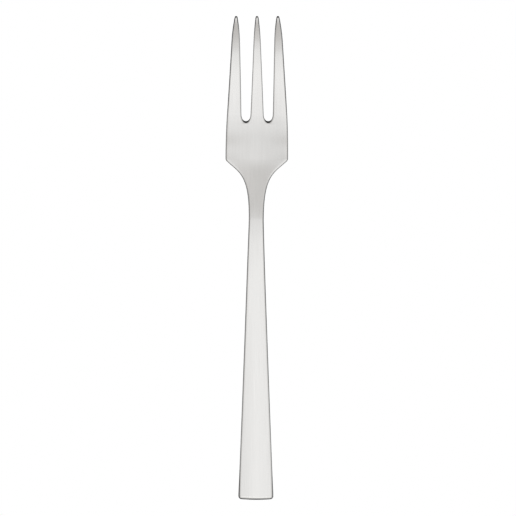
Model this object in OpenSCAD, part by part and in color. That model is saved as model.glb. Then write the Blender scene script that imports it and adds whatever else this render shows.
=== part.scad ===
// Serving fork with three tines, pressed from one piece of stainless steel and polished.
// X runs across the fork, Y along it towards the tips and Z up from the table.
// It lies on its back as on a table, touching with the end of the handle and the bowl.
// Lengths are in millimetres and angles in degrees.

/* [Overall] */
// Length from the end of the handle to the tips
fork_length = 228; // [190:1:270]
// Radius of the polished rounding along every edge
edge_r = 0.9; // [0.3:0.05:1.2]

/* [Handle] */
// Width across the end of the handle
handle_end_w = 16.4; // [11:0.1:24]
// Radius of the bowed end, seen from above
handle_end_bow_r = 100; // [30:5:300]
// Radius of the two corners of the end
handle_corner_r = 1.5; // [1.1:0.1:5]
// Angle at which each side draws in from the end
handle_draw_in = 2.3; // [0:0.1:4]
// Thickness of the steel at the end
handle_end_t = 2.4; // [1.6:0.1:4]
// How far the crowned top falls from its middle to its sides, at the end
handle_crown = 0.65; // [0:0.05:1]

/* [Neck] */
// Width at the narrowest place
neck_w = 6.9; // [5:0.1:10]
// Thickness of the steel where it is thickest
neck_t = 3.9; // [2.4:0.1:5]
// How far before the narrowest place the steel is thickest
thick_lead = 2; // [0:0.5:6]
// Distance from the narrowest place to the shoulders
neck_length = 28.1; // [18:0.1:40]

/* [Head] */
// Width across the shoulders
head_w = 29.4; // [26:0.1:36]
// Distance from the shoulders to the bottom of the slots
head_length = 17.6; // [10:0.1:30]
// Slope of the shoulders, measured from straight across the fork
shoulder_angle = 44; // [25:1:60]
// Radius of the shoulder corners
shoulder_r = 1.8; // [1.2:0.1:5]
// Thickness of the steel in the middle of the head
head_t = 2.2; // [1.6:0.1:3.5]
// How far past the shoulders the thinning from the neck goes on at the sides
side_lag = 3.5; // [0:0.5:6]
// Radius of the shallow hollow across the top of the head
head_hollow_r = 220; // [120:10:600]

/* [Tines] */
// Length of the tines, from the bottom of the slots to the tips
tine_length = 49.2; // [35:0.1:65]
// Width of the middle tine where its pointed nose begins
middle_tine_w = 3.3; // [2.6:0.1:4.4]
// Width of the outer tines where their pointed noses begin
outer_tine_w = 3.9; // [2.6:0.1:4.6]
// Angle between the two straight edges of a tine
tine_taper = 4.7; // [1:0.1:6]
// Distance between the two outer tips
tip_spread = 19.6; // [16:0.1:24]
// Angle at which the outer tines lean in towards the middle one
outer_tine_lean = 1.3; // [0:0.1:3]
// Length of the pointed noses
nose_length = 11.5; // [6:0.5:18]
// Radius of the blunt tips
tip_r = 0.65; // [0.4:0.05:1]
// Depth of the rounded slot ends
slot_end_depth = 3.4; // [2:0.1:6]
// Thickness of the steel near the tips
tine_tip_t = 1.7; // [1:0.1:2.2]

/* [Bends] */
// Angle at which the neck falls towards the head
neck_fall = 14; // [8:1:22]
// Length of the bend from the straight handle into the fall
neck_bend = 35; // [20:1:60]
// Length of the straight fall, from the narrowest place of the neck into the head
fall_length = 38.5; // [25:0.5:50]
// Length of the bend from the fall up into the tines
bowl_bend = 31; // [20:1:45]
// Angle at which the tines rise
tine_rise = 12; // [4:1:16]
// Angle at which the tips rise
tip_rise = 24; // [10:1:30]
// Length of the last bend, which ends at the tips
tip_bend = 28; // [10:1:36]
// How much sooner the outer tines start their last bend
outer_tip_lead = 2.3; // [0:0.1:5]

/* [Hidden] */
steel_colour = [0.9, 0.89, 0.88];

// Places along the fork, measured from the end of the handle
slot_y = fork_length - tine_length;
shoulder_y = slot_y - head_length;
neck_y = shoulder_y - neck_length;
bowl_y = neck_y + fall_length;
tine_y = bowl_y + bowl_bend;

// Steps along each stretch of the outline, across each half and round each edge
corner_steps = 4;
handle_steps = 22;
shoulder_steps = 14;
head_steps = 7;
slot_steps = 6;
taper_steps = 8;
nose_steps = 8;
tip_steps = 4;
column_steps = 3;
edge_steps = 3;

// An edge takes at most these shares of the steel's thickness and of a tine's half width
edge_share_of_t = 0.46;
edge_share_of_w = 0.8;

// How far the curves of the sides hold on to their end directions, as shares of their length
handle_hold = [0.3, 0.05];
shoulder_hold = [0.74, 0.28];

function ease(u) = let (c = min(max(u, 0), 1)) c * c * (3 - 2 * c);
function blend(a, b, u) = a + (b - a) * ease(u);
function mix(a, b, u) = a + (b - a) * u;
function unit(v) = v / norm(v);
function reversed(list) = [for (i = [len(list) - 1 : -1 : 0]) list[i]];

// An arc without its first point; angle 0 points down the page and 90 to the right
function arc(centre, r, from, to, steps) =
    [for (k = [1 : steps]) let (a = mix(from, to, k / steps)) centre + r * [sin(a), -cos(a)]];

// A cubic curve without its first point
function curve(p, steps) =
    [for (k = [1 : steps]) let (u = k / steps, v = 1 - u)
        v * v * v * p[0] + 3 * v * v * u * p[1] + 3 * v * u * u * p[2] + u * u * u * p[3]];

// Side view: height of the underside.
// Each bend eases the slope from one value to the next between two places.
function bend(from, to, y) =
    let (u = (y - from) / (to - from))
    u <= 0 ? 0 : u >= 1 ? y - (from + to) / 2 : (to - from) * (pow(u, 3) - pow(u, 4) / 2);

fall_slope = -tan(neck_fall);
tine_slope = tan(tine_rise);
tip_slope = tan(tip_rise);

// The bowl is lowest where the second bend passes through level
level_share = -fall_slope / (tine_slope - fall_slope);
level_y = bowl_y + bowl_bend * (0.5 - sin(asin(1 - 2 * level_share) / 3));

// The handle climbs so that its end and the bowl rest on the same table
bend_middle = neck_y - neck_bend / 2;
drop_to_bowl = fall_slope * (level_y - bend_middle)
    + (tine_slope - fall_slope) * bend(bowl_y, tine_y, level_y);
handle_slope = -drop_to_bowl / bend_middle;

function tip_lead(x) = abs(x) > slot_x ? outer_tip_lead : 0;
function base_z(p) = handle_slope * p.y
    + (fall_slope - handle_slope) * bend(neck_y - neck_bend, neck_y, p.y)
    + (tine_slope - fall_slope) * bend(bowl_y, tine_y, p.y)
    + (tip_slope - tine_slope) * bend(fork_length - tip_bend, fork_length, p.y + tip_lead(p.x));

// Thickness of the steel: thickest at the neck, even across the head and thinnest at the tips.
// The thinning ends at the shoulders in the middle and a little later at the sides.
thick_y = neck_y - thick_lead;
function thin_y(x) = shoulder_y + side_lag * pow(2 * x / head_w, 2);
function steel_t(p) =
    p.y < thick_y ? blend(handle_end_t, neck_t, p.y / thick_y) :
    p.y < slot_y ? blend(neck_t, head_t, (p.y - thick_y) / (thin_y(p.x) - thick_y)) :
    blend(head_t, tine_tip_t, (p.y - slot_y) / tine_length);

// Share of the thickness that is left as a tip rounds off
function tip_share(y) =
    let (left = 1 - (fork_length - y) / tip_r) left <= 0 ? 1 : sqrt(max(0, 1 - left * left));

// On top the handle is crowned, which fades out over its bend, and the head is hollow.
// The underside is flat across, so that the fork lies steadily on all three tines.
function crown_share(y) = 1 - ease((y - neck_y + neck_bend) / neck_bend);
function crown_drop(p) = handle_crown * crown_share(p.y) * pow(2 * p.x / handle_end_w, 2);
function head_share(y) = ease((y - neck_y) / neck_length);
function hollow_rise(p) = head_share(p.y) * p.x * p.x / (2 * head_hollow_r);
function full_t(p) = steel_t(p) + hollow_rise(p) - crown_drop(p);
function under_z(p) = base_z(p) + full_t(p) * (1 - tip_share(p.y)) / 2;
function top_z(p) = base_z(p) + full_t(p) * (1 + tip_share(p.y)) / 2;

// Half width of a tine at a distance back from its tip: a straight taper,
// then an arc that leaves the straight edge and runs into the round of the tip
taper_slope = tan(tine_taper / 2);
function tine_half(nose_w, back) =
    let (start = [nose_w / 2, nose_length],
         inward = unit([-1, taper_slope]),
         from_tip = start - [0, tip_r],
         r = (from_tip * from_tip - tip_r * tip_r) / (-2 * (inward * from_tip + tip_r)),
         centre = start + r * inward,
         touch = [0, tip_r] + tip_r * unit([0, tip_r] - centre))
    back >= nose_length ? nose_w / 2 + taper_slope * (back - nose_length) :
    back >= touch.y ? centre.x + sqrt(r * r - pow(back - centre.y, 2)) :
    sqrt(max(0, tip_r * tip_r - pow(tip_r - back, 2)));

// Edges of the right half, at a distance back from the tips
straight_back = tine_length - slot_end_depth;
function middle_edge(back) = tine_half(middle_tine_w, back);
function outer_axis(back) = tip_spread / 2 + tan(outer_tine_lean) * back;
function inner_edge(back) = outer_axis(back) - tine_half(outer_tine_w, back);

// The slot closes in half an ellipse between the roots of the two tines
slot_x = (inner_edge(straight_back) + middle_edge(straight_back)) / 2;
slot_half = (inner_edge(straight_back) - middle_edge(straight_back)) / 2;

// The side of the head runs from straight at the shoulder into the straight outer tine
function outer_tine_x(back) = outer_axis(back) + tine_half(outer_tine_w, back);
side_y = fork_length - straight_back;
side_length = side_y - shoulder_y;
side_slope = -tan(outer_tine_lean) - taper_slope;
function outer_edge(y) =
    let (u = (y - shoulder_y) / side_length)
    u >= 1 ? outer_tine_x(fork_length - y) :
    mix(head_w / 2, outer_tine_x(straight_back), u * u * (3 - 2 * u))
        + side_slope * side_length * u * u * (u - 1);

// Outline of the right half below the slots, from the middle of the handle's end
column_split = slot_x / outer_edge(slot_y);
columns = concat(
    [for (j = [0 : column_steps]) column_split * j / column_steps],
    [for (j = [1 : column_steps]) mix(column_split, 1, j / column_steps)]);
bow_angle = asin((handle_end_w / 2 - handle_corner_r) / (handle_end_bow_r - handle_corner_r));
corner_centre = [0, handle_end_bow_r]
    + (handle_end_bow_r - handle_corner_r) * [sin(bow_angle), -cos(bow_angle)];
end_edge = [for (c = columns) let (x = c * handle_end_bow_r * sin(bow_angle))
    [x, handle_end_bow_r - sqrt(handle_end_bow_r * handle_end_bow_r - x * x)]];

handle_start = corner_centre + [handle_corner_r, 0];
handle_side = neck_y - handle_start.y;
neck = [neck_w / 2, neck_y];
handle_curve = [
    handle_start,
    handle_start + handle_hold[0] * handle_side * [-tan(handle_draw_in), 1],
    neck - [0, handle_hold[1] * handle_side],
    neck];

shoulder_centre = [head_w / 2 - shoulder_r, shoulder_y];
shoulder_start = shoulder_centre + shoulder_r * [sin(shoulder_angle), -cos(shoulder_angle)];
shoulder_curve = [
    neck,
    neck + [0, shoulder_hold[0] * neck_length],
    shoulder_start - shoulder_hold[1] * neck_length * [cos(shoulder_angle), sin(shoulder_angle)],
    shoulder_start];

// The last row below the slots leaves room for their rounded edge
head_end_y = slot_y - 2 * edge_r;
body_edge = concat(
    arc(corner_centre, handle_corner_r, bow_angle, 90, corner_steps),
    curve(handle_curve, handle_steps),
    curve(shoulder_curve, shoulder_steps),
    arc(shoulder_centre, shoulder_r, shoulder_angle, 90, corner_steps),
    [for (k = [1 : head_steps]) let (y = mix(shoulder_y, head_end_y, k / head_steps))
        [outer_edge(y), y]]);

// Rows along the tines, as distances back from the tips
slot_turns = [for (k = [0 : slot_steps]) 90 * k / slot_steps];
tine_rows = concat(
    [for (a = slot_turns) tine_length - slot_end_depth * (1 - cos(a))],
    [for (k = [1 : taper_steps]) mix(straight_back, nose_length, k / taper_steps)],
    [for (k = [1 : nose_steps]) mix(nose_length, tip_r, k / nose_steps)],
    [for (k = [1 : tip_steps]) tip_r * (1 - sin(90 * k / tip_steps))]);
last_row = len(tine_rows) - 1;
function slot_gap(k) = k < slot_steps ? slot_half * sin(slot_turns[k]) : 0;
function row_y(k) = fork_length - tine_rows[k];
tine_outer = [for (k = [0 : last_row]) [outer_edge(row_y(k)), row_y(k)]];
tine_inner = [for (k = [0 : last_row])
    [k < slot_steps ? slot_x + slot_gap(k) : inner_edge(tine_rows[k]), row_y(k)]];
tine_middle = [for (k = [0 : last_row])
    [k < slot_steps ? slot_x - slot_gap(k) : middle_edge(tine_rows[k]), row_y(k)]];

// The whole rim of the right half: handle end, outer side, round the outer tip,
// down to the slot and up the middle tine to its tip
rim = concat(
    end_edge, body_edge, tine_outer,
    [for (k = [last_row - 1 : -1 : 0]) tine_inner[k]],
    [for (k = [1 : last_row]) tine_middle[k]]);
rim_last = len(rim) - 1;
rim_tines = len(end_edge) + len(body_edge);
function on_outer(k) = rim_tines + k;
function on_inner(k) = rim_tines + 2 * last_row - k;
function on_middle(k) = rim_tines + 2 * last_row + k;

// Direction out of the steel at each place on the rim, mirrored past both ends
function flip(p) = [-p.x, p.y];
rim_out = [for (i = [0 : rim_last])
    let (before = i == 0 ? flip(rim[1]) : rim[i - 1],
         after = i == rim_last ? flip(rim[i - 1]) : rim[i + 1],
         along = unit(after - before))
    [along.y, -along.x]];

// Radius of the rounding at each place on the rim
function rim_half(i) = let (p = rim[i])
    i < rim_tines ? neck_w / 2 :
    i <= on_inner(0) ? tine_half(outer_tine_w, fork_length - p.y) :
    tine_half(middle_tine_w, fork_length - p.y);
rim_r = [for (i = [0 : rim_last]) let (rim_t = top_z(rim[i]) - under_z(rim[i]))
    min(edge_r, edge_share_of_w * rim_half(i), edge_share_of_t * rim_t)];

// Points round the edge at one place on the rim, from the top face to the underside
edge_turns = [for (k = [0 : edge_steps]) 90 * k / edge_steps];
function rim_plan(i, a) = rim[i] - rim_out[i] * rim_r[i] * (1 - sin(a));
rim_rings = [for (i = [0 : rim_last]) concat(
    [for (a = edge_turns) let (p = rim_plan(i, a))
        [p.x, p.y, top_z(p) - rim_r[i] * (1 - cos(a))]],
    [for (a = reversed(edge_turns)) let (p = rim_plan(i, a))
        [p.x, p.y, under_z(p) + rim_r[i] * (1 - cos(a))]])];

// Rows of points across the two faces, from the middle line to the start of the rounding.
// The rows near the bowed end are bowed like it and straighten out within one width.
face_edge = [for (i = [0 : rim_last]) rim_plan(i, 0)];
end_face = [for (j = [0 : len(end_edge) - 1]) face_edge[j]];
end_corner = end_face[len(end_face) - 1];
end_bow = end_corner.y - end_face[0].y;
function row_bow(y) = end_bow * max(0, 1 - (y - end_corner.y) / handle_end_w);
function body_row(edge) =
    [for (c = columns) [c * edge.x, edge.y - row_bow(edge.y) * (1 - c * c)]];
function cross_row(from, to) =
    [for (j = [0 : column_steps]) mix(from, to, j / column_steps)];
middle_rows = [for (k = [0 : last_row]) cross_row([0, row_y(k)], face_edge[on_middle(k)])];
outer_rows = [for (k = [0 : last_row])
    cross_row(face_edge[on_inner(k)], face_edge[on_outer(k)])];
slot_row = concat(middle_rows[0], [for (j = [1 : column_steps]) outer_rows[0][j]]);
body_rows = concat(
    [end_face],
    [for (i = [0 : len(body_edge) - 1]) body_row(face_edge[len(end_edge) + i])],
    [slot_row]);

// Four-cornered patches between neighbouring rows of points
function patches(rows) =
    [for (i = [0 : len(rows) - 2], j = [0 : len(rows[i]) - 2])
        [rows[i][j], rows[i + 1][j], rows[i + 1][j + 1], rows[i][j + 1]]];
function turned(patch) = [patch[0], patch[3], patch[2], patch[1]];
function on_top(patch) = [for (p = patch) [p.x, p.y, top_z(p)]];
function on_underside(patch) = [for (p = turned(patch)) [p.x, p.y, under_z(p)]];
function mirrored(patch) = [for (p = turned(patch)) [-p.x, p.y, p.z]];

faces = concat(patches(body_rows), patches(middle_rows), patches(outer_rows));
half_skin = concat(
    [for (f = faces) on_top(f)], [for (f = faces) on_underside(f)], patches(rim_rings));
skin = concat(half_skin, [for (s = half_skin) mirrored(s)]);

// Two triangles a patch, leaving out those that a tip closes to a point
smallest_side = 1e-6;
function has_area(t) = min(norm(t[0] - t[1]), norm(t[1] - t[2]), norm(t[2] - t[0])) > smallest_side;
triangles = [for (s = skin, t = [[s[0], s[1], s[2]], [s[0], s[2], s[3]]]) if (has_area(t)) t];

module serving_fork() {
    color(steel_colour)
        translate([0, -fork_length / 2, 0])
            polyhedron(
                points = [for (t = triangles) each t],
                faces = [for (i = [0 : len(triangles) - 1]) [3 * i, 3 * i + 1, 3 * i + 2]]);
}

serving_fork();
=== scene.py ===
# %% [markdown]
# A serving fork with three tines, pressed from one piece of stainless steel.
# In a factory it is cut flat from sheet, slotted, bent in a press and polished.
# This lesson makes it in the same order: a flat blank, its slots, a rounded rim, then the bends.
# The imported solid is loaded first. It stays where it is, and gives the size that the fork keeps.

# %% Load the frame
import math

import bmesh
import bpy
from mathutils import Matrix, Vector
from mathutils.geometry import interpolate_bezier


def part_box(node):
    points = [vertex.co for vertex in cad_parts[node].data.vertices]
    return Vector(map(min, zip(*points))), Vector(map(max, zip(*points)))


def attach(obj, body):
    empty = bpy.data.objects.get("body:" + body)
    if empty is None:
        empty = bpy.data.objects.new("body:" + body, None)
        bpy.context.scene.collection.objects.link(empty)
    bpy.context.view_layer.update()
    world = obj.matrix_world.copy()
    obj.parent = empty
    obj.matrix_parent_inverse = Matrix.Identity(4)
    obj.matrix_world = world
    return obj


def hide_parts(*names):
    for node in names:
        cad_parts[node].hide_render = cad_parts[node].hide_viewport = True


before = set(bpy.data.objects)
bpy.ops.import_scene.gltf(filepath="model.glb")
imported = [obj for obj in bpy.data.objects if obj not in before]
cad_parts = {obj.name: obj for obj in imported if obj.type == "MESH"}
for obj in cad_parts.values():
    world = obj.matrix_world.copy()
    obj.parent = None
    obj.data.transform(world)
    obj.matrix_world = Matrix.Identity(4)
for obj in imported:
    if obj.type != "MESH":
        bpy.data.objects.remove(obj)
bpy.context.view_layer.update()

mm = 0.001
low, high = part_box("serving_fork")
fork_length = high.y - low.y
head_w = high.x - low.x
print(f"the fork is {fork_length / mm:.1f} mm long and {head_w / mm:.1f} mm wide")

# %% [markdown]
# The side view decides how every surface catches the light, so it comes before the outline.
# The press bends the steel three times: the handle turns down at the neck, the fall turns up
# through the bowl of the head, and the tines turn up once more near their tips.
# Three arcs would do, but an arc starts to curve suddenly, and polished steel shows that as a hard line.
# So the slope eases into each bend and out of it, and a short formula gives the height that results.

# %% Bends that ease
def ease(share):
    """Runs from 0 to 1, slowly at both ends."""
    share = min(max(share, 0), 1)
    return share * share * (3 - 2 * share)


def bend(start, end, y):
    """Height gained past a bend whose slope eases from 0 to 1 between start and end."""
    share = (y - start) / (end - start)
    if share <= 0:
        return 0
    if share >= 1:
        return y - (start + end) / 2
    return (end - start) * (share ** 3 - share ** 4 / 2)


print(f"half way through a bend the slope is {ease(0.5)} of its last")

# %% [markdown]
# The fork rests on the end of its handle and on the lowest part of the bowl.
# The handle's slope could be typed in, but it follows from those two points, so it is worked out:
# first where the bowl is level, then how deep it lies there, then the slope that brings the end down to it.

# %% Side view
tine_length = 49.2 * mm
head_length = 17.6 * mm
neck_length = 28.1 * mm
slot_y = fork_length - tine_length
shoulder_y = slot_y - head_length
neck_y = shoulder_y - neck_length

neck_bend = 35 * mm
fall_length = 38.5 * mm
bowl_bend = 31 * mm
tip_bend = 28 * mm
fall_slope = -math.tan(math.radians(14))
tine_slope = math.tan(math.radians(12))
tip_slope = math.tan(math.radians(24))
bowl_y = neck_y + fall_length
neck_middle = neck_y - neck_bend / 2


def bowl_height(y):
    """Height that the bowl's bend adds to the straight fall."""
    return (tine_slope - fall_slope) * bend(bowl_y, bowl_y + bowl_bend, y)


def eased_at(value):
    """The share at which ease reaches a value between 0 and 1."""
    return 0.5 - math.sin(math.asin(1 - 2 * value) / 3)


level_y = bowl_y + bowl_bend * eased_at(-fall_slope / (tine_slope - fall_slope))
bowl_depth = -fall_slope * (level_y - neck_middle) - bowl_height(level_y)
handle_slope = bowl_depth / neck_middle


def base_height(y, lead):
    """Height of the underside; the tip's bend comes sooner by the lead."""
    past_neck = bend(neck_y - neck_bend, neck_y, y)
    past_tip = bend(fork_length - tip_bend, fork_length, y + lead)
    handle = handle_slope * (y - past_neck)
    fall = fall_slope * past_neck
    return handle + fall + bowl_height(y) + (tip_slope - tine_slope) * past_tip


print(f"the handle climbs at {math.degrees(math.atan(handle_slope)):.2f} degrees")

# %% [markdown]
# The steel isn't equally thick. It is rolled thickest at the neck, where a fork bends in use,
# and thins towards the tips; at the head's sides the thinning ends a little later than in the middle.
# The handle's top is crowned and the head's top hollow, both by less than a millimetre.
# Such shallow forms could be left out, but they make the reflections swell and shrink along the fork:
# the hollow flattens a little past the shoulders, and that alone shades the head's sides above them.
# The tops of the tips round over in their last few millimetres, where a belt always takes off more.
# The underside stays flat across, so that the fork lies on all three tines, and the outer tines
# bend up slightly sooner than the middle one, as they do when a press tool is curved across.

# %% Thickness, crown and hollow
end_w = 16.4 * mm
end_t = 2.4 * mm
neck_t = 3.9 * mm
head_t = 2.2 * mm
tip_t = 1.7 * mm
handle_crown = 0.65 * mm
head_hollow_r = 220 * mm
hollow_loss = 0.3
flatten_y = shoulder_y + 5.3 * mm
flatten_length = 6.6 * mm
thick_lead = 2 * mm
thick_y = neck_y - thick_lead
side_lag = 3.5 * mm
outer_lead = 2.3 * mm
tine_gap_x = 5.3 * mm
tip_round = 2.6 * mm
tip_drop = 0.25 * mm


def blend(start, end, share):
    return start + (end - start) * ease(share)


def steel_t(x, y):
    """Thickness of the steel at a place in the outline."""
    if y < thick_y:
        return blend(end_t, neck_t, y / thick_y)
    if y < slot_y:
        thin_y = shoulder_y + side_lag * (2 * x / head_w) ** 2
        return blend(neck_t, head_t, (y - thick_y) / (thin_y - thick_y))
    return blend(head_t, tip_t, (y - slot_y) / tine_length)


def under_height(x, y):
    return base_height(y, outer_lead if abs(x) > tine_gap_x else 0)


def top_height(x, y):
    hollow = ease((y - neck_y) / neck_length) * x * x / (2 * head_hollow_r)
    hollow *= 1 - hollow_loss * ease((y - flatten_y) / flatten_length)
    crown_left = 1 - ease((y - neck_y + neck_bend) / neck_bend)
    crown = handle_crown * crown_left * (2 * x / end_w) ** 2
    drop = tip_drop * max(0, 1 - (fork_length - y) / tip_round) ** 2
    return under_height(x, y) + steel_t(x, y) + hollow - crown - drop


print(f"the top of the neck is {top_height(0, neck_middle) / mm:.1f} mm up")

# %% [markdown]
# Next comes the outline of the blank from above, for the right half only.
# The handle ends in a shallow bow with two small corners, and its side draws in to the neck
# in one long curve. Many short lines could follow that side, but a Bezier curve needs
# just its two ends and two handles, and has no kinks.

# %% Outline of the handle
end_bow_r = 100 * mm
corner_r = 1.5 * mm
draw_in = math.tan(math.radians(2.3))
neck_w = 6.9 * mm
handle_hold, waist_hold = 0.3, 0.05
handle_points = 25

bow_angle = math.asin((end_w / 2 - corner_r) / (end_bow_r - corner_r))
bow_way = Vector((math.sin(bow_angle), -math.cos(bow_angle)))
corner_centre = Vector((0, end_bow_r)) + (end_bow_r - corner_r) * bow_way
handle_start = corner_centre + Vector((corner_r, 0))
handle_side = neck_y - handle_start.y
neck = Vector((neck_w / 2, neck_y))
handle_curve = interpolate_bezier(
    handle_start,
    handle_start + handle_hold * handle_side * Vector((-draw_in, 1)),
    neck - Vector((0, waist_hold * handle_side)),
    neck,
    handle_points,
)
print(f"the handle's side has {len(handle_curve)} points")

# %% [markdown]
# Past the neck the outline flares out to the shoulders. These are nearly corners: small arcs between
# the slanting flare and the straight side of the head. The flare could be an arc as well, but its curve
# is gentle at the neck and nearly straight at the shoulder, so it is a second Bezier curve.
# It leaves the neck in the direction in which the first one ends there, so the two meet without a kink.

# %% Outline of the flare
shoulder_r = 1.8 * mm
shoulder_angle = math.radians(44)
neck_hold, shoulder_hold = 0.74, 0.28
flare_points = 15

shoulder_centre = Vector((head_w / 2 - shoulder_r, shoulder_y))
shoulder_way = Vector((math.cos(shoulder_angle), math.sin(shoulder_angle)))
shoulder_start = shoulder_centre + shoulder_r * Vector((shoulder_way.y, -shoulder_way.x))
flare_curve = interpolate_bezier(
    neck,
    neck + Vector((0, neck_hold * neck_length)),
    shoulder_start - shoulder_hold * neck_length * shoulder_way,
    shoulder_start,
    flare_points,
)
print(f"the flare has {len(flare_curve)} points")

# %% [markdown]
# A tine is a straight taper that ends in a slim nose with a blunt tip: slim enough to push in,
# and blunt enough for a plate. A straight nose would show a corner where it starts.
# Here the nose is an arc that leaves the taper without a corner and touches the small circle of the tip.

# %% Outline of the tines
middle_tine_w = 3.3 * mm
outer_tine_w = 3.9 * mm
tine_taper = math.tan(math.radians(4.7 / 2))
tip_spread = 19.6 * mm
tine_lean = math.tan(math.radians(1.3))
nose_length = 11.5 * mm
tip_r = 0.65 * mm


def tine_half(nose_w, back):
    """Half the width of a tine at a distance back from its tip."""
    if back >= nose_length:
        return nose_w / 2 + tine_taper * (back - nose_length)
    start = Vector((nose_w / 2, nose_length))
    inward = Vector((-1, tine_taper)).normalized()
    from_tip = start - Vector((0, tip_r))
    nose_r = (from_tip.dot(from_tip) - tip_r ** 2) / (-2 * (inward.dot(from_tip) + tip_r))
    centre = start + nose_r * inward
    on_nose = centre.x + math.sqrt(max(0, nose_r ** 2 - (back - centre.y) ** 2))
    on_tip = math.sqrt(max(0, tip_r ** 2 - (tip_r - back) ** 2))
    return min(on_nose, on_tip) if back < tip_r else on_nose


def outer_axis(back):
    """Middle line of the right tine, which leans in towards its tip."""
    return tip_spread / 2 + tine_lean * back


print(f"at its nose the middle tine is {2 * tine_half(middle_tine_w, nose_length) / mm:.1f} mm wide")

# %% [markdown]
# A slot is the gap that the tines leave, and its end is half an ellipse.
# So the slot has no size of its own: it follows from the tines on both sides of it.
# The side of the head has to leave the shoulder straight and meet the tine without a corner,
# which takes a curve with a given slope at its far end.

# %% Slots and sides of the head
slot_depth = 3.4 * mm
straight_back = tine_length - slot_depth
root_inner = outer_axis(straight_back) - tine_half(outer_tine_w, straight_back)
root_outer = outer_axis(straight_back) + tine_half(outer_tine_w, straight_back)
root_middle = tine_half(middle_tine_w, straight_back)
slot_x = (root_inner + root_middle) / 2
slot_half = (root_inner - root_middle) / 2


def outer_edge(y):
    """Outer side of the head and of the right tine."""
    side_length = fork_length - straight_back - shoulder_y
    share = (y - shoulder_y) / side_length
    if share >= 1:
        back = fork_length - y
        return outer_axis(back) + tine_half(outer_tine_w, back)
    turn = -(tine_lean + tine_taper) * side_length * share * share * (share - 1)
    return blend(head_w / 2, root_outer, share) + turn


print(f"the slots are {2 * slot_half / mm:.2f} mm wide at their ends")

# %% [markdown]
# The blank is drawn out of the handle's end one row at a time, as a long lump of clay is.
# Cutting the outline out of a grid would be quicker to write, but would leave ragged faces along the edge.
# A row has three vertices here: on the middle line, in line with the slot, and on the edge.
# Extruding its edges keeps the sheet in clean four-sided faces, which a smooth surface needs.

# %% Rows of the blank
blank = bmesh.new()
slot_line = slot_x / outer_edge(slot_y)


def set_row(verts, places):
    for vert, place in zip(verts, places):
        vert.co.xy = place[0], place[1] + low.y


def draw_out(edges, places):
    """Extrudes a row of edges and sets the new vertices, from the middle line outwards."""
    made = bmesh.ops.extrude_edge_only(blank, edges=edges)["geom"]
    verts = [item for item in made if isinstance(item, bmesh.types.BMVert)]
    set_row(sorted(verts, key=lambda vert: vert.co.x), places)
    drawn = [item for item in made if isinstance(item, bmesh.types.BMEdge)]
    return [edge for edge in drawn if all(vert in verts for vert in edge.verts)]


def bow_y(x):
    return end_bow_r - math.sqrt(end_bow_r ** 2 - x * x)


corner_x = end_bow_r * bow_way.x
first_row = [(x, bow_y(x)) for x in (0, slot_line * corner_x, corner_x)]
verts = [blank.verts.new((0, 0, 0)) for _ in first_row]
set_row(verts, first_row)
edges = [blank.edges.new(pair) for pair in zip(verts, verts[1:])]
print(f"the first row is {2 * corner_x / mm:.1f} mm wide on the whole fork")

# %% [markdown]
# The rows now follow the outline: round the corner, along the handle, out to the shoulder and up the head.
# The last row but one stops short of the slots, so that the rounded rim at their ends finds room later.

# %% Blank of the handle and the head
corner_steps = 4
head_rows = 7
end_clear = 2 * mm
head_clear = 2.6 * mm
head_end = slot_y - head_clear


def even_steps(start, end, steps):
    """Values at even distances after a start, up to an end."""
    return [start + (end - start) * k / steps for k in range(1, steps + 1)]


def arc(centre, radius, start, end, steps):
    """Points round an arc, without its first; angle 0 points down the page."""
    turns = even_steps(start, end, steps)
    return [centre + radius * Vector((math.sin(turn), -math.cos(turn))) for turn in turns]


def body_row(edge):
    """A row across the handle or the head; near the end its middle keeps clear of the rim."""
    middle_y = edge.y + end_clear * max(0, 1 - edge.y / end_w)
    return [(0, middle_y), (slot_line * edge.x, middle_y), edge]


sides = (
    arc(corner_centre, corner_r, bow_angle, math.pi / 2, corner_steps)
    + handle_curve[1:]
    + flare_curve[1:]
    + arc(shoulder_centre, shoulder_r, shoulder_angle, math.pi / 2, corner_steps)
    + [Vector((outer_edge(y), y)) for y in even_steps(shoulder_y, head_end, head_rows)]
)
for side in sides:
    edges = draw_out(edges, body_row(side))
edges = draw_out(edges, [(0, slot_y), (slot_x, slot_y), (outer_edge(slot_y), slot_y)])
print(f"the handle and the head have {len(blank.faces)} faces")

# %% [markdown]
# A factory punches the slots out. Here a slot begins where the row splits: from there the inner edge
# and the outer edge are drawn out apart, and the gap between them opens.
# That needs no Boolean cut, and the faces stay four-sided right round the slot's end.

# %% Tines and slots
slot_steps, taper_steps, nose_steps = 6, 9, 8
tip_turns = (55, 25)
nose_clear = 0.5 * mm
weld = 0.001 * mm


def middle_x(edge):
    return (edge.verts[0].co.x + edge.verts[1].co.x) / 2


slot_turns = even_steps(0, math.pi / 2, slot_steps)
slot_ys = even_steps(slot_y, slot_y + slot_depth, slot_steps)
taper_backs = even_steps(straight_back, nose_length, taper_steps)
nose_backs = even_steps(nose_length, tip_r, nose_steps)
tip_backs = [tip_r * (1 - math.cos(math.radians(turn))) for turn in tip_turns]

inner, outer = [[edge] for edge in sorted(edges, key=middle_x)]
for turn, even_y in zip(slot_turns, slot_ys):
    edge_y = slot_y + slot_depth * (1 - math.cos(turn))
    gap = slot_half * math.sin(turn)
    inner = draw_out(inner, [(0, even_y), (slot_x - gap, edge_y)])
    outer = draw_out(outer, [(slot_x + gap, edge_y), (outer_edge(even_y), even_y)])

for back in taper_backs + nose_backs + tip_backs:
    y = fork_length - back
    middle_y = y - nose_clear * max(0, 1 - back / nose_length)
    inner = draw_out(inner, [(0, middle_y), (tine_half(middle_tine_w, back), y)])
    half = tine_half(outer_tine_w, back)
    outer = draw_out(outer, [(outer_axis(back) - half, y), (outer_axis(back) + half, y)])
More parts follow.
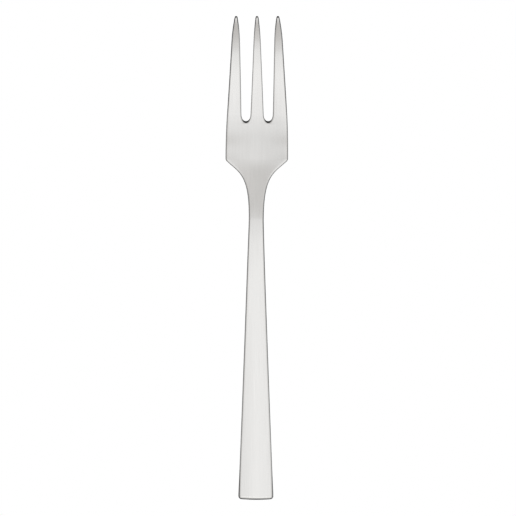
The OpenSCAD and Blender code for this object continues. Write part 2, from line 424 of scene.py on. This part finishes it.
# The middle line of the middle tine runs on to the very end of the fork.
for vert in inner[0].verts:
    if vert.co.x < weld:
        vert.co.y = fork_length + low.y
print(f"the half blank has {len(blank.faces)} faces")

# %% [markdown]
# The two halves of a fork are alike, so the left one is the mirror image of the right one.
# A Mirror modifier would do it too, but the next steps need the whole rim in one mesh.
# The halves are welded on the middle line, and the faces turned to look up.

# %% Whole blank
half_blank = blank.verts[:] + blank.edges[:] + blank.faces[:]
bmesh.ops.mirror(blank, geom=half_blank, axis="X", merge_dist=weld)
bmesh.ops.remove_doubles(blank, verts=blank.verts[:], dist=weld)
bmesh.ops.recalc_face_normals(blank, faces=blank.faces[:])
if sum(face.normal.z for face in blank.faces) < 0:
    bmesh.ops.reverse_faces(blank, faces=blank.faces[:])
print(f"the whole blank has {len(blank.faces)} faces")

# %% [markdown]
# Every edge of the fork is rounded by polishing. A bevel would round it too, but the faces of a bevel
# stay separate from the smooth surface beside them. Instead an inset makes a narrow band along the rim,
# and the smooth surface turns down within that band: the wider the band, the softer the edge.
# The inset is only a hair wide at first. Each pair of vertices is then spread to the width that suits
# the place: less on the slim tines, more at the handle's end and in the ends of the slots.

# %% Band along the rim
hair = 0.01 * mm
rim = 0.8 * mm
end_rim = 2.0 * mm
slot_rim = 0.7 * mm
slot_end_rim = 1.15 * mm
slim_share = 0.55
slot_fade = 5


def into_slot(x, y):
    """How deep a place lies in the rounded end of a slot: 1 at its bottom, 0 where the slot is straight."""
    if abs(abs(x) - slot_x) > slot_half + hair:
        return 0
    return min(max(1 - (y - slot_y) / slot_depth, 0), 1) ** slot_fade


def nose_width(x):
    return middle_tine_w if abs(x) < slot_x else outer_tine_w


def band_width(x, y):
    back = fork_length - y
    if back > tine_length + hair:
        return rim + (end_rim - rim) * max(0, 1 - y / corner_r)
    if into_slot(x, y) > 0:
        return slot_rim + (slot_end_rim - slot_rim) * into_slot(x, y)
    slim = slim_share * tine_half(nose_width(x), max(back, tip_r))
    return min(slot_rim if abs(x) < outer_axis(back) else rim, slim)


whole_blank = blank.faces[:]
bmesh.ops.inset_region(blank, faces=whole_blank, thickness=hair, use_boundary=True, use_even_offset=True)
rim_verts = [vert for vert in blank.verts if vert.is_boundary]
for vert in rim_verts:
    rung = next(edge for edge in vert.link_edges if not edge.is_boundary)
    inner_vert = rung.other_vert(vert)
    way = (inner_vert.co - vert.co) / hair
    inner_vert.co = vert.co + way * band_width(vert.co.x, vert.co.y - low.y)
print(f"the rim has {len(rim_verts)} vertices")

# %% [markdown]
# Solidify gives the flat sheet its two faces and the wall between them.
# On the real fork that wall isn't upright: the punch shears it, and the belt polishes the top edge more
# than the underside. So from above a thin strip of it shows, and draws the fine dark line round the fork.
# An upright wall is the simpler shape, but it hides that strip, so each post of the wall leans in.
# It leans most at the bottoms of the slots, where a belt hardly reaches, and least along their sides.
# The handle's end, the noses of the tines and their outer sides are ground to shape,
# so they lean more than the long sides.

# %% Walls that lean
sheet_t = 1 * mm
side_lean = 0.2 * mm
end_lean = 0.75 * mm
end_reach = 18 * mm
slot_lean = 0.05 * mm
slot_end_lean = 1.5 * mm
tip_lean = 0.4 * mm
tip_end_lean = 0.33 * mm
tine_side_lean = 0.42 * mm
lean_reach = 12 * mm
foot_share = 0.4

bmesh.ops.solidify(blank, geom=blank.faces[:], thickness=sheet_t)
bmesh.ops.recalc_face_normals(blank, faces=blank.faces[:])
sheet_low = min(vert.co.z for vert in blank.verts)
posts = [edge for edge in blank.edges if abs(edge.verts[0].co.z - edge.verts[1].co.z) > sheet_t / 2]


def wall_lean(x, y, outward):
    """How far a wall leans in between its foot and its top."""
    back = fork_length - y
    if y < end_reach:
        return blend(end_lean, side_lean, y / end_reach)
    if back > tine_length + hair:
        return side_lean * outward.x ** 2
    if into_slot(x, y) > 0:
        return slot_lean + (slot_end_lean - slot_lean) * into_slot(x, y)
    outer_side = blend(side_lean, tine_side_lean, (tine_length - back) / lean_reach)
    tine_side = slot_lean if abs(x) < outer_axis(back) else outer_side
    nose_lean = tip_lean * outward.x ** 2 + tip_end_lean * outward.y ** 2
    return min(blend(nose_lean, tine_side, back / nose_length), band_width(x, y))


for post in posts:
    outward = sum((face.normal for face in post.link_faces), Vector()).normalized()
    foot, top = sorted(post.verts, key=lambda vert: vert.co.z)
    lean = wall_lean(foot.co.x, foot.co.y - low.y, outward) * outward
    foot.co += foot_share * lean
    top.co -= (1 - foot_share) * lean
bmesh.ops.subdivide_edges(blank, edges=posts, cuts=1, use_grid_fill=True)
bmesh.ops.recalc_face_normals(blank, faces=blank.faces[:])
print(f"the wall has {len(posts)} posts")

# %% [markdown]
# Now the press closes. A Curve or Lattice modifier could bend the sheet, but neither keeps exact heights.
# So every vertex keeps its place in the outline and takes its height from the side view,
# according to how far up the flat sheet it was. Near the tips the walls stay square to the bent steel.

# %% Press
for vert in blank.verts:
    x, y = vert.co.x, vert.co.y - low.y
    share = (vert.co.z - sheet_low) / sheet_t
    under = under_height(x, y)
    rise = share * (top_height(x, y) - under)
    vert.co.z = under + rise
    tip_turn = tip_slope * ease((y - fork_length + tip_bend) / tip_bend)
    vert.co.y -= rise * tip_turn

mesh = bpy.data.meshes.new("steel_fork")
blank.to_mesh(mesh)
blank.free()
mesh.shade_smooth()
fork = bpy.data.objects.new("steel_fork", mesh)
bpy.context.scene.collection.objects.link(fork)
print(f"the pressed fork has {len(mesh.polygons)} faces")

# %% [markdown]
# Polishing takes away every flat spot, and Subdivision Surface does the same to the mesh.
# The fork rides on the only body and stands for the imported solid, which is hidden; its finish is the
# satin steel made next.

# %% Smooth surface
smooth_level = 2
smooth = fork.modifiers.new("smooth", "SUBSURF")
smooth.levels = smooth_level
smooth.render_levels = smooth_level
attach(fork, "root")
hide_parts("serving_fork")
print(f"the smooth fork has about {len(mesh.polygons) * 4 ** smooth_level} faces")

# %% [markdown]
# The finish is satin stainless steel: bright, very slightly warm, with fine lines from a polishing belt
# that ran along the fork. The lines are scratches less than a thousandth of a millimetre deep.
# A picture of brushed metal could be wrapped round it, but would stretch at the bends.
# Noise in the fork's own coordinates doesn't: one is drawn out along Y for the hairlines,
# one is wider for the bands that a worn belt leaves, and one is cloudy, for where the belt pressed harder.
# Each has a size of its own upwards. With the same size as across, the bends would chop the lines
# into specks, because the steel climbs through many patches there.

# %% Noise for the steel
steel = bpy.data.materials.new("satin_steel")
steel.use_nodes = True
nodes = steel.node_tree.nodes
links = steel.node_tree.links
shader = nodes["Principled BSDF"]
shader.inputs["Metallic"].default_value = 1
place = nodes.new("ShaderNodeTexCoord")


def steel_noise(across, along, climb, detail):
    """Noise whose patches have the given sizes in metres across, along and up the fork."""
    stretch = nodes.new("ShaderNodeMapping")
    stretch.inputs["Scale"].default_value = (1 / across, 1 / along, 1 / climb)
    links.new(place.outputs["Object"], stretch.inputs["Vector"])
    noise = nodes.new("ShaderNodeTexNoise")
    noise.inputs["Scale"].default_value = 1
    noise.inputs["Detail"].default_value = detail
    links.new(stretch.outputs["Vector"], noise.inputs["Vector"])
    return noise.outputs["Fac"]


hairlines = steel_noise(across=0.11 * mm, along=14 * mm, climb=4 * mm, detail=3)
bands = steel_noise(across=0.5 * mm, along=40 * mm, climb=10 * mm, detail=2)
clouds = steel_noise(across=9 * mm, along=22 * mm, climb=9 * mm, detail=2)
print(f"the steel starts with {len(nodes)} nodes")

# %% [markdown]
# The same hairlines then change three things at once, as real scratches do: the brightness a little,
# the roughness more, and the slope of the surface by a trace, so that highlights break up along them.
# The first two come here. A colour ramp could turn noise into brightness, but noise mostly keeps
# to the middle of its range, so a Map Range node that stretches just the middle is easier to set.

# %% Brightness and roughness
steel_tint = (0.62, 0.6145, 0.604)
hairline_shade, band_shade, cloud_shade = 0.04, 0.014, 0.01
hairline_rough = 0.2
smooth_cloud, rough_cloud = 0.12, 0.16
noise_low, noise_high = 0.3, 0.7


def spread(value, low_end, high_end):
    """Maps a noise, which mostly keeps between its low and its high, to a range of values."""
    scale = nodes.new("ShaderNodeMapRange")
    scale.inputs["From Min"].default_value = noise_low
    scale.inputs["From Max"].default_value = noise_high
    scale.inputs["To Min"].default_value = low_end
    scale.inputs["To Max"].default_value = high_end
    links.new(value, scale.inputs["Value"])
    return scale.outputs["Result"]


def vary(value, share):
    """A noise as a factor that strays from 1 by a share, down and up."""
    return spread(value, 1 - share, 1 + share)


def times(first, second):
    product = nodes.new("ShaderNodeMath")
    product.operation = "MULTIPLY"
    links.new(first, product.inputs[0])
    links.new(second, product.inputs[1])
    return product.outputs["Value"]


patches = times(vary(bands, band_shade), vary(clouds, cloud_shade))
brightness = times(vary(hairlines, hairline_shade), patches)
tint = nodes.new("ShaderNodeVectorMath")
tint.operation = "SCALE"
tint.inputs[0].default_value = steel_tint
links.new(brightness, tint.inputs["Scale"])
links.new(tint.outputs["Vector"], shader.inputs["Base Color"])
roughness = times(vary(hairlines, hairline_rough), spread(clouds, smooth_cloud, rough_cloud))
links.new(roughness, shader.inputs["Roughness"])
print(f"with brightness and roughness the steel has {len(nodes)} nodes")

# %% [markdown]
# No press leaves a surface perfectly even, so the clouds tilt it a little, and the hairlines
# are cut into it as scratches. Displacing the mesh would need millions of faces for this,
# so two Bump nodes do it, one after the other: they only turn the light, and leave the mesh as it is.

# %% Waves and scratches
scratch_depth = 0.0006 * mm
wave_depth = 0.01 * mm


def relief(height, depth):
    """A Bump node that makes a noise as deep as given, in metres."""
    bump = nodes.new("ShaderNodeBump")
    bump.inputs["Strength"].default_value = 1
    bump.inputs["Distance"].default_value = depth
    links.new(height, bump.inputs["Height"])
    return bump


waves = relief(clouds, wave_depth)
scratches = relief(hairlines, scratch_depth)
links.new(waves.outputs["Normal"], scratches.inputs["Normal"])
links.new(scratches.outputs["Normal"], shader.inputs["Normal"])
mesh.materials.append(steel)
print(f"the finished steel has {len(nodes)} nodes")

# %% [markdown]
# The fork lies on a plain white table. A lit table would turn grey where the light falls off
# and catch a shadow, and a picture of cutlery is usually cut out on clean white.
# So this table glows by itself at the white of the picture and takes no light.
# The steel doesn't see it: everything that the steel reflects comes from the room, which is made next.

# %% Table
table_size = 40
table_mesh = bpy.data.meshes.new("table")
table_shape = bmesh.new()
bmesh.ops.create_grid(table_shape, x_segments=1, y_segments=1, size=table_size / 2)
table_shape.to_mesh(table_mesh)
table_shape.free()
table = bpy.data.objects.new("table", table_mesh)
bpy.context.scene.collection.objects.link(table)
table.visible_glossy = False

white = bpy.data.materials.new("white_table")
white.use_nodes = True
white_shader = white.node_tree.nodes["Principled BSDF"]
white_shader.inputs["Base Color"].default_value = (0, 0, 0, 1)
white_shader.inputs["Specular IOR Level"].default_value = 0
white_shader.inputs["Emission Color"].default_value = (1, 1, 1, 1)
white_shader.inputs["Emission Strength"].default_value = 1
table_mesh.materials.append(white)
print("the table is", table_size, "m wide")

# %% [markdown]
# Polished steel has little colour of its own. It shows the room, so the light is drawn as a room:
# a soft box overhead, pale walls like those of a photographer's tent, and a dark floor.
# Area lights could build it, but each would show its hard edges in the steel.
# The world is smoother: it gives a brightness to each direction that a ray leaves in.

# %% Room that the steel reflects
room_turn = math.radians(8)
world = bpy.data.worlds.new("light_tent")
bpy.context.scene.world = world
world.use_nodes = True
room = world.node_tree.nodes
room_links = world.node_tree.links
ray = room.new("ShaderNodeTexCoord")
turned = room.new("ShaderNodeVectorRotate")
turned.rotation_type = "Z_AXIS"
turned.inputs["Angle"].default_value = room_turn
room_links.new(ray.outputs["Generated"], turned.inputs["Vector"])
split = room.new("ShaderNodeSeparateXYZ")
room_links.new(turned.outputs["Vector"], split.inputs["Vector"])
print("the room is turned by", round(math.degrees(room_turn)), "degrees")

# %% [markdown]
# The soft box overhead is described by two lists of angle and brightness, along the fork and across it.
# The angle counts from straight up, in degrees, and the slope of the steel picks it: the handle sees
# about -20, the head about 30 and the tips nearly -45. So each stretch of the list tones one part
# of the fork. The dimmer stretches are a little warmer, as the edge of a lamp's shade is.

# %% Tones of the soft box
box_reach = 60
room_warmth = 0.22
neutral_tone = 0.8
along_fork = [
    (-46, 0.54), (-42, 0.6), (-39, 0.665), (-36.5, 0.71), (-34, 0.76), (-32.5, 0.84), (-31, 0.89),
    (-28, 0.91), (-25, 0.91), (-20, 0.965), (-10, 0.955), (3, 0.935), (16, 0.928), (28.5, 0.868),
    (29.9, 0.862), (30.4, 0.843), (31, 0.8), (32.3, 0.73), (34, 0.688), (38, 0.682), (43, 0.7),
]
across_fork = [
    (-48, 0.28), (-40, 0.37), (-28, 0.65), (-20, 0.8), (-12, 0.9), (-6, 0.965), (0, 1),
    (6, 0.99), (12, 0.965), (20, 0.9), (28, 0.8), (34, 0.7), (40, 0.62), (48, 0.57),
]


def box_tone(side, stops):
    """Brightness by the angle between straight up and a ray, seen along one axis."""
    angle = room.new("ShaderNodeMath")
    angle.operation = "ARCTAN2"
    room_links.new(split.outputs[side], angle.inputs[0])
    room_links.new(split.outputs["Z"], angle.inputs[1])
    share = room.new("ShaderNodeMapRange")
    share.inputs["From Min"].default_value = -math.radians(box_reach)
    share.inputs["From Max"].default_value = math.radians(box_reach)
    room_links.new(angle.outputs["Value"], share.inputs["Value"])
    ramp = room.new("ShaderNodeValToRGB")
    room_links.new(share.outputs["Result"], ramp.inputs["Fac"])
    points = ramp.color_ramp.elements
    while len(points) < len(stops):
        points.new(1)
    for point, (turn, tone) in zip(points, stops):
        point.position = (turn + box_reach) / (2 * box_reach)
        warm = room_warmth * max(0, neutral_tone - tone)
        point.color = (tone, tone * (1 - warm / 2), tone * (1 - warm), 1)
    return ramp.outputs["Color"]


along_tone = box_tone("Y", along_fork)
across_tone = box_tone("X", across_fork)
print(f"the soft box has {len(along_fork)} tones along the fork and {len(across_fork)} across it")

# %% [markdown]
# The two tones are multiplied, so the box is dimmest in its corners, as a real one is.
# A Math node would do for grey, but these tones are warm, so a Mix node multiplies them as colours.
# It can also go from one colour to another by a share, which the walls need next.
# A Mix node has a set of sockets for each kind of data, and those for colours are picked by number.

# %% Soft box overhead
share_socket, first_socket, second_socket = 0, 6, 7
result_socket = 2


def room_mix(share, first, second, way="MIX"):
    """Goes from the first colour to the second by a share, or multiplies the two."""
    mix = room.new("ShaderNodeMix")
    mix.data_type = "RGBA"
    mix.blend_type = way
    for value, socket in ((share, share_socket), (first, first_socket), (second, second_socket)):
        if isinstance(value, bpy.types.NodeSocket):
            room_links.new(value, mix.inputs[socket])
        else:
            mix.inputs[socket].default_value = value
    return mix.outputs[result_socket]


soft_box = room_mix(1, along_tone, across_tone, "MULTIPLY")
print(f"with the soft box the room has {len(room)} nodes")

# %% [markdown]
# Below the soft box come the walls of the tent, which make the fork look bright from every side,
# and under the table's level a floor that is nearly black, which the leaning walls of the steel reflect.
# The right side of the room is a little brighter, as if a window were there,
# so the right edges of the fork come out lighter than the left ones.
# A direction's height is 1 straight up, 0 level and -1 straight down, and the parts ease into each other.

# %% Pale walls and dark floor
wall_left, wall_right = 0.5, 0.6
floor_left, floor_right = 0.02, 0.22
wall_side, floor_middle, floor_side = 0.5, 0.3, 0.9
floor_edge, wall_foot = -0.35, -0.12
wall_top, box_edge = 0.48, 0.62


def room_range(value, start, end, first, last):
    """A value that eases from first to last while another goes from start to end."""
    step = room.new("ShaderNodeMapRange")
    step.interpolation_type = "SMOOTHSTEP"
    step.inputs["From Min"].default_value = start
    step.inputs["From Max"].default_value = end
    step.inputs["To Min"].default_value = first
    step.inputs["To Max"].default_value = last
    room_links.new(value, step.inputs["Value"])
    return step.outputs["Result"]


sideways, upward = split.outputs["X"], split.outputs["Z"]
wall_tone = room_range(sideways, -wall_side, wall_side, wall_left, wall_right)
floor_tone = room_range(sideways, floor_middle, floor_side, floor_left, floor_right)
around = room_mix(room_range(upward, floor_edge, wall_foot, 0, 1), floor_tone, wall_tone)
tent = room_mix(room_range(upward, wall_top, box_edge, 0, 1), around, soft_box)
print(f"the tent's walls have tones of {wall_left} on the left and {wall_right} on the right")

# %% [markdown]
# A camera shows the world itself wherever the table ends, and a grey sky there would show a horizon.
# A Light Path node picks out the camera's own rays: they see plain white, and only the steel sees the tent.

# %% Room put together
room_strength = 1.415
seen = room.new("ShaderNodeLightPath")
shown = room_mix(seen.outputs["Is Camera Ray"], tent, (1, 1, 1, 1))
background = room["Background"]
room_links.new(shown, background.inputs["Color"])
background.inputs["Strength"].default_value = room_strength
print(f"the room has {len(room)} nodes")

# %% [markdown]
# A small panel hangs past the end of the handle. The world is endlessly far away, so it lights
# every part of the fork by slope alone. A real lamp that is near lights only what is close to it:
# this one draws a bright line along the rounded edge of the handle's end, and leaves the tines as they are.

# %% Panel past the handle
panel_w = 0.4
panel_l = 0.12
panel_up = 0.284
panel_gap = 0.165
panel_power = 0.11
panel_data = bpy.data.lights.new("handle_panel", "AREA")
panel_data.shape = "RECTANGLE"
panel_data.size = panel_w
panel_data.size_y = panel_l
panel_data.energy = panel_power
panel = bpy.data.objects.new("handle_panel", panel_data)
panel.location = (0, low.y - panel_gap - panel_l / 2, panel_up)
panel.visible_camera = False
bpy.context.scene.collection.objects.link(panel)
print(f"the panel starts {panel_gap} m past the handle")

# %% [markdown]
# The picture is taken straight from above through a long lens, so that both ends of the fork
# come out at the same scale. The camera's distance follows from the lens and the height of the view,
# so another lens would keep the size. A trace of lean and roll puts the fork where the picture has it.

# %% Camera
lens = 200
sensor = 36
view_height = 243.3 * mm
view_centre = Vector((0.72 * mm, 0.41 * mm, 5 * mm))
view_lean = math.radians(1.03)
view_roll = math.radians(0.19)
lens_data = bpy.data.cameras.new("camera")
lens_data.lens = lens
lens_data.sensor_width = sensor
camera = bpy.data.objects.new("camera", lens_data)
distance = view_height * lens / sensor
camera.location = view_centre + distance * Vector((math.sin(view_lean), 0, math.cos(view_lean)))
camera.rotation_euler = (0, view_lean, view_roll)
bpy.context.scene.collection.objects.link(camera)
bpy.context.scene.camera = camera
bpy.context.scene.view_settings.view_transform = "Standard"
print("the camera is", round(camera.location.z, 3), "m up")
